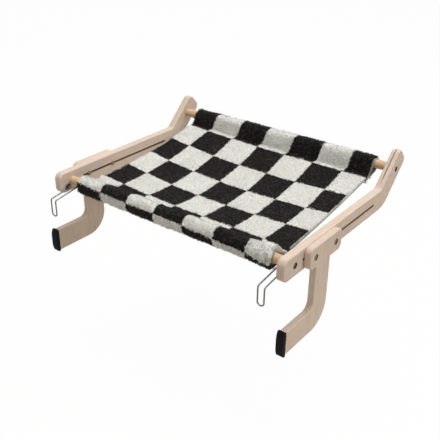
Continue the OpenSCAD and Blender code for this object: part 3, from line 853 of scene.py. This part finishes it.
def new_piece(name, points, faces, material, cloth=None):
    """A piece of the sling from points in millimetres; cloth is its place in the check."""
    mesh = bpy.data.meshes.new(name)
    mesh.from_pydata(to_metres(points).tolist(), [], faces)
    if cloth is not None:
        attribute = mesh.attributes.new("cloth", "FLOAT_VECTOR", "POINT")
        attribute.data.foreach_set("vector", np.asarray(cloth, np.float32).ravel())
    mesh.shade_smooth()
    mesh.materials.append(material)
    mesh.update()
    piece = bpy.data.objects.new(name, mesh)
    bpy.context.scene.collection.objects.link(piece)
    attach(piece, "frame")
    return piece


def shell_faces(rows, columns):
    """Faces of a closed shell whose outer and inner layers are grids of rows by columns."""
    size = rows * columns
    faces = []
    for i in range(rows - 1):
        for j in range(columns - 1):
            a = i * columns + j
            faces.append((a, a + 1, a + columns + 1, a + columns))
            faces.append((size + a, size + a + columns, size + a + columns + 1, size + a + 1))
    rim = [(i * columns, (i + 1) * columns, False) for i in range(rows - 1)]
    rim += [((i + 1) * columns - 1, (i + 2) * columns - 1, True) for i in range(rows - 1)]
    rim += [(j, j + 1, True) for j in range(columns - 1)]
    rim += [(size - columns + j, size - columns + j + 1, False) for j in range(columns - 1)]
    for a, b, flip in rim:
        face = (a, b, size + b, size + a)
        faces.append(face[::-1] if flip else face)
    return faces


def noise_at(x, t, size, layer):
    """Smooth noise over the cloth, with features of one size in millimetres."""
    flat = zip(np.ravel(x) / size, np.ravel(t) / size)
    return np.array([noise.noise(Vector((a, b, layer))) for a, b in flat]).reshape(np.shape(x))


def groove(t, middle, width):
    """1 in the middle of a groove across the cloth, falling off on both sides."""
    return np.exp(-((t - middle) / width) ** 2)


def groove_depth(t):
    """Depth of the seams' grooves and of the finer ones on the rolls."""
    seams = SEAM_GROOVE[0] * sum(groove(t, seam, SEAM_GROOVE[1]) for seam in SEAM_T)
    fine = sum(groove(t, LINES[k] + past, FINE_GROOVE[1]) for k, past in FINE_PLACES)
    return seams + FINE_GROOVE[0] * fine


def tape_sink(x, t):
    """How far the tapes press the pile down."""
    left, right = edges(t)
    room = np.minimum(x - left, right - x)
    on_seat = (t > HEM_T[0]) & (t < HEM_T[1])
    return np.where(on_seat, TAPE_SINK * (1 - smooth(room, *TAPE_FADE)), 0)


def lift(x, t):
    """Height of the pile above the plush's plain face."""
    p, _ = at(t)
    front = 1 - smooth(np.hypot(p[..., 0], p[..., 1]), *ROLL_FADE)
    back = 1 - smooth(np.hypot(p[..., 0] - BACK[0], p[..., 1] - BACK[1]), *ROLL_FADE)
    below = np.clip(-p[..., 1] / UNDER_REACH, 0, 1)
    body = FRONT_PILE * front + UNDER_PILE * front * below + BACK_PILE * back
    body = body + END_PUFF * front * smooth(x, *PUFF_SPAN)
    crest = groove(t, FRONT_T + CREST_PLACE, CREST_W) * smooth(x, *CREST_SPAN)
    body = body + END_CREST * crest
    curls = sum(height * noise_at(x, t, size, layer) for height, size, layer in CURLS)
    strands = STRAND_LIFT * noise_at(x * STRAND_SLIM, t, STRAND_SIZE, STRAND_LAYER)
    strands = strands * (front + STRAND_BACK * back)
    strands = strands * (1 + STRAND_MORE * smooth(x, *STRAND_SPAN))
    return body - tape_sink(x, t) - groove_depth(t) + curls + strands


def cloth_grid(step, hems=NO_HEMS):
    """Grid of places across and along the cloth."""
    t = np.linspace(0, LENGTH, int(LENGTH / step) + 1)
    left, right = edges(t, hems)
    u = np.linspace(0, 1, int(2 * PLUSH_HALF / step) + 1)
    x = left[:, None] + (right - left)[:, None] * u[None, :]
    return x, t[:, None] + 0 * x


def make_plush():
    """The plush cloth, with its pile as relief."""
    x, t = cloth_grid(PLUSH_GRID)
    top = cloth_point(x, t, -lift(x, t))
    bottom = cloth_point(x, t, PLUSH_T)
    place = check_place(x, t).reshape(-1, 3)
    points = np.concatenate([top.reshape(-1, 3), bottom.reshape(-1, 3)])
    piece = new_piece("plush_sheet", points, shell_faces(*x.shape), PLUSH,
                      np.concatenate([place, place]))
    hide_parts("sling_plush")
    return piece


def make_canvas():
    """Backing, with its hem folded double where it shows past the plush."""
    x, t = cloth_grid(CANVAS_GRID, HEMS)
    left, right = edges(t)
    past = np.maximum(left - x, x - right)
    fold = HEM_FOLD_T * smooth(past, *HEM_FOLD_SPAN)
    points = [cloth_point(x, t, PLUSH_T - fold), cloth_point(x, t, SKIN_T)]
    piece = new_piece("canvas_sheet", np.concatenate([p.reshape(-1, 3) for p in points]),
                      shell_faces(*x.shape), CANVAS)
    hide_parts("sling_canvas")
    return piece


def make_tape(side, sign):
    """Tape folded round a side edge of the seat."""
    t = np.linspace(HEM_T[0] + 0.5, HEM_T[1] - 0.5, TAPE_ROWS)
    edge = np.abs(edges(t)[0 if sign < 0 else 1])
    layers = []
    for profile in (TAPE_OUTER, TAPE_INNER):
        out = np.array(profile)
        x = sign * (edge[:, None] + out[None, :, 0])
        layers.append(cloth_point(x, t[:, None] + 0 * x, out[None, :, 1] + 0 * x).reshape(-1, 3))
    piece = new_piece("tape_" + side, np.concatenate(layers), shell_faces(len(t), len(TAPE_OUTER)),
                      TAPE)
    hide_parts("binding_" + side)
    return piece


def tuft_turns(rng, x, t, end):
    """Direction of each curl round the cloth's normal, and its length."""
    fringe = ((t < HEM_T[0]) | (t > HEM_T[1])) & (end < FRINGE_W)
    outward = np.where(x > 0, 0, np.pi) + rng.normal(0, FRINGE_SPREAD, TUFTS)
    turn = np.where(fringe, outward, rng.uniform(0, 2 * np.pi, TUFTS))
    length = np.where(fringe, rng.uniform(*FRINGE_LENGTH, TUFTS), rng.uniform(*TUFT_LENGTH, TUFTS))
    on_front = (t > FRONT_T - HANG_RUN[0]) & (t < SEAM_T[0] - HANG_RUN[1]) & ~fringe
    hanging = on_front & (rng.random(TUFTS) < HANG_SHARE)
    turn = np.where(hanging, -np.pi / 2 + rng.normal(0, HANG_SPREAD, TUFTS), turn)
    longer = rng.uniform(*HANG_LENGTH, TUFTS) * (1 + HANG_MORE * smooth(x, *HANG_SPAN))
    return turn, np.where(hanging, longer, length)


def tuft_points(x, t, turn, length, height, width):
    """Points of the curls: a pair each at root, bend and tip."""
    _, n = at(t)
    out = np.stack([0 * t, -n[:, 0], -n[:, 1]], -1)
    along = np.stack([0 * t, -n[:, 1], n[:, 0]], -1)
    lean = np.cos(turn)[:, None] * np.array([1.0, 0, 0]) + np.sin(turn)[:, None] * along
    wide = np.cross(out, lean)
    root = cloth_point(x, t, -lift(x, t))
    rows = []
    for up, forth, half in TUFT_BEND:
        middle = root + out * (up * height)[:, None] + lean * (forth * length)[:, None]
        side = wide * (half * width)[:, None]
        rows += [middle - side, middle + side]
    return np.stack(rows, 1).reshape(-1, 3)


def make_tufts():
    """Curls of the pile that stand up from the plush, each in the colour of its square."""
    rng = np.random.default_rng(SEED)
    t = rng.uniform(0, LENGTH, TUFTS)
    left, right = edges(t)
    x = left + (right - left) * rng.uniform(0.001, 0.999, TUFTS)
    turn, length = tuft_turns(rng, x, t, np.minimum(x - left, right - x))
    height = rng.uniform(*TUFT_HEIGHT, TUFTS)
    width = rng.uniform(*TUFT_WIDTH, TUFTS)
    points = tuft_points(x, t, turn, length, height, width)
    faces = []
    for a in range(0, 6 * TUFTS, 6):
        faces += [(a, a + 1, a + 3, a + 2), (a + 2, a + 3, a + 5, a + 4)]
    place = np.repeat(check_place(x, t), 6, axis=0)
    return new_piece("plush_tufts", points, faces, PLUSH, place)


def tube_sides(base, rings, sides):
    """Side faces of a tube whose rings of points start at number base."""
    faces = []
    for k in range(rings - 1):
        for turn in range(sides):
            a, b = base + sides * k + turn, base + sides * k + (turn + 1) % sides
            faces.append((a, b, b + sides, a + sides))
    return faces


def stitch_points(a, b, out):
    """Rings of points of one stitch from a to b, with out straight up from the cloth."""
    along = (b - a) / np.linalg.norm(b - a)
    side = np.cross(along, out)
    points = []
    for share, thick in BEAD:
        c = (a + b) / 2 + along * share * STITCH_LENGTH
        for turn in range(BEAD_SIDES):
            d = polar(STITCH_W / 2 * thick, 360 / BEAD_SIDES * turn)
            points.append(c + side * d[0] + out * d[1])
    return points


def seam_rows():
    """Rows of stitches as places across, along and into the cloth."""
    rows = []
    for k, sign in enumerate((-1, 1)):
        t = np.arange(HEM_T[0] + STITCH_MARGIN, HEM_T[1] - STITCH_MARGIN, STITCH_PITCH)
        rows.append((sign * (np.abs(edges(t)[k]) - TAPE_STITCH_IN), t, SKIN_T + STITCH_BELOW))
        t = np.arange(SEAM_T[1] + HEM_STITCH_FROM, LENGTH - FLAP_RUN[1], STITCH_PITCH)
        depth = PLUSH_T - HEM_FOLD_T - HEM_STITCH_PROUD
        rows.append((edges(t)[k] + sign * HEM_STITCH_OUT, t, depth))
    half_flap = strip * math.pi / 180 * seat_r / 2
    x = np.arange(-PLUSH_HALF + STITCH_MARGIN, PLUSH_HALF - STITCH_MARGIN, STITCH_PITCH)
    for middle in (half_flap, LENGTH - half_flap):
        rows.append((x, middle + 0 * x, -STITCH_PROUD))
    return rows


def make_stitches():
    """Seams across the flaps, along the tapes and round the hems of the back sleeve."""
    points, faces = [], []
    last = BEAD_SIDES * (len(BEAD) - 1)
    for x, t, depth in seam_rows():
        places = cloth_point(x, t, depth)
        _, n = at(t)
        outs = np.stack([0 * t, n[:, 0], n[:, 1]], -1)
        for i in range(0, len(places) - 1, 2):
            base = len(points)
            points += stitch_points(places[i], places[i + 1], outs[i])
            faces += tube_sides(base, len(BEAD), BEAD_SIDES)
            faces.append(tuple(base + turn for turn in range(BEAD_SIDES - 1, -1, -1)))
            faces.append(tuple(base + last + turn for turn in range(BEAD_SIDES)))
    return new_piece("stitches", np.array(points), faces, THREAD)


def fray_points(rng, side, sign):
    """Rings of points of one loose thread at a back corner."""
    t = np.array([HEM_T[1] + rng.uniform(*FRAY_PLACE)])
    depth = np.array([rng.uniform(*FRAY_DEPTH)])
    start = cloth_point(edges(t)[side] - sign * 0.5, t, depth)[0]
    step = np.array([sign * rng.uniform(*FRAY_OUT), rng.normal(0, FRAY_SWAY),
                     -rng.uniform(*FRAY_DROP)])
    bend = rng.normal(0, FRAY_BEND, 3)
    points = []
    for k in range(FRAY_RINGS):
        c = start + step * k + bend * k * k / 4
        half = FRAY_HALF * (1 - k / (FRAY_RINGS + 0.5))
        for j in range(FRAY_SIDES):
            points.append(c + np.array([0, *polar(half, 360 / FRAY_SIDES * j)]))
    return points


def make_frays():
    """Loose threads at the back corners, where the tape, the hem and the plush meet."""
    rng = np.random.default_rng(SEED + 1)
    points, faces = [], []
    for side, sign in enumerate((-1, 1)):
        for _ in range(FRAYS // 2):
            faces += tube_sides(len(points), FRAY_RINGS, FRAY_SIDES)
            points += fray_points(rng, side, sign)
    return new_piece("frays", np.array(points), faces, FRAY)


plush_piece = make_plush()
tufts_piece = make_tufts()
canvas_piece = make_canvas()
tapes = [make_tape(side, sign) for side, sign in SIDES]
stitches_piece = make_stitches()
frays_piece = make_frays()


# Stage, lights and camera

# Floor: how far it lies below the hammock, its half size and colour, and how much of it the
# camera sees as white
FLOOR_DROP = 0.25
FLOOR_HALF = 12.0
FLOOR_COLOUR = (0.66, 0.62, 0.56, 1)
FLOOR_WHITE = 0.98
WHITE = (1, 1, 1, 1)
# Light from all round: strength and colour
SKY = (0.34, (1.0, 0.95, 0.885, 1.0))
# Soft lamps: place and power by name, and their width and the place that they point at
LAMPS = {"top": ((0.0, 0.5, 3.0), 73.0), "front": ((0.4, -3.4, 2.4), 14.0),
         "side": ((3.6, 1.2, 2.6), 44.0), "rear": ((0.0, 3.6, 2.8), 8.0)}
LAMP_W = 1.8
LAMP_AIM = Vector((0.0, 0.2, 0.0))


def show_white(tree, plain, white, share, output):
    """Shows a share of a white shader to the camera and to mirror-like surfaces only."""
    rays = add(tree, "ShaderNodeLightPath")
    seen = maths(tree, "MAXIMUM", rays.outputs["Is Camera Ray"], rays.outputs["Is Glossy Ray"])
    mix = add(tree, "ShaderNodeMixShader")
    tree.links.new(maths(tree, "MULTIPLY", seen, share), mix.inputs[0])
    tree.links.new(plain.outputs[0], mix.inputs[1])
    tree.links.new(white.outputs[0], mix.inputs[2])
    tree.links.new(mix.outputs[0], tree.nodes[output].inputs["Surface"])


def floor():
    """A wide floor that keeps the shadow and looks white."""
    z = cad_box[0].z - FLOOR_DROP
    corners = [(FLOOR_HALF * x, FLOOR_HALF * y, z) for x, y in ((-1, -1), (1, -1), (1, 1), (-1, 1))]
    mesh = bpy.data.meshes.new("floor")
    mesh.from_pydata(corners, [], [(0, 1, 2, 3)])
    piece = bpy.data.objects.new("floor", mesh)
    bpy.context.scene.collection.objects.link(piece)
    m, tree, bsdf = new_material("floor")
    tune(bsdf, {"Base Color": FLOOR_COLOUR, "Roughness": 1.0})
    glow = add(tree, "ShaderNodeEmission", Strength=1.0, Color=WHITE)
    show_white(tree, bsdf, glow, FLOOR_WHITE, "Material Output")
    mesh.materials.append(m)


def world(strength, colour):
    """Even light from all round, before a white background."""
    w = bpy.data.worlds.new("studio")
    bpy.context.scene.world = w
    w.use_nodes = True
    background = w.node_tree.nodes["Background"]
    tune(background, {"Color": colour, "Strength": strength})
    plain = add(w.node_tree, "ShaderNodeBackground", Strength=1.0, Color=WHITE)
    show_white(w.node_tree, background, plain, 1.0, "World Output")


def lamp(name, place, power):
    """A soft round lamp that points at the hammock."""
    data = bpy.data.lights.new(name, "AREA")
    data.shape = "DISK"
    data.size = LAMP_W
    data.energy = power
    piece = bpy.data.objects.new(name, data)
    bpy.context.scene.collection.objects.link(piece)
    piece.location = place
    piece.rotation_mode = "QUATERNION"
    piece.rotation_quaternion = (LAMP_AIM - Vector(place)).to_track_quat("-Z", "Y")


def camera():
    """The photograph's camera."""
    a, e, roll = (math.radians(v) for v in (CAMERA_AZIMUTH, CAMERA_ELEVATION, CAMERA_ROLL))
    back = Vector((math.sin(a) * math.cos(e), -math.cos(a) * math.cos(e), math.sin(e)))
    level = Vector((math.cos(a), math.sin(a), 0))
    plumb = back.cross(level)
    right = level * math.cos(roll) + plumb * math.sin(roll)
    up = plumb * math.cos(roll) - level * math.sin(roll)
    data = bpy.data.cameras.new("camera")
    data.sensor_width = SENSOR_MM
    data.lens = CAMERA_FOCAL_PX / PHOTO_PX * SENSOR_MM
    data.clip_start = 0.01
    data.clip_end = 60.0
    piece = bpy.data.objects.new("camera", data)
    bpy.context.scene.collection.objects.link(piece)
    turn = Matrix((right, up, back)).transposed().to_4x4()
    piece.matrix_world = Matrix.Translation(CAMERA_PLACE) @ turn
    bpy.context.scene.camera = piece


floor()
world(*SKY)
for lamp_name, (lamp_place, lamp_power) in LAMPS.items():
    lamp(lamp_name, lamp_place, lamp_power)
camera()
bpy.context.scene.view_settings.view_transform = "Standard"
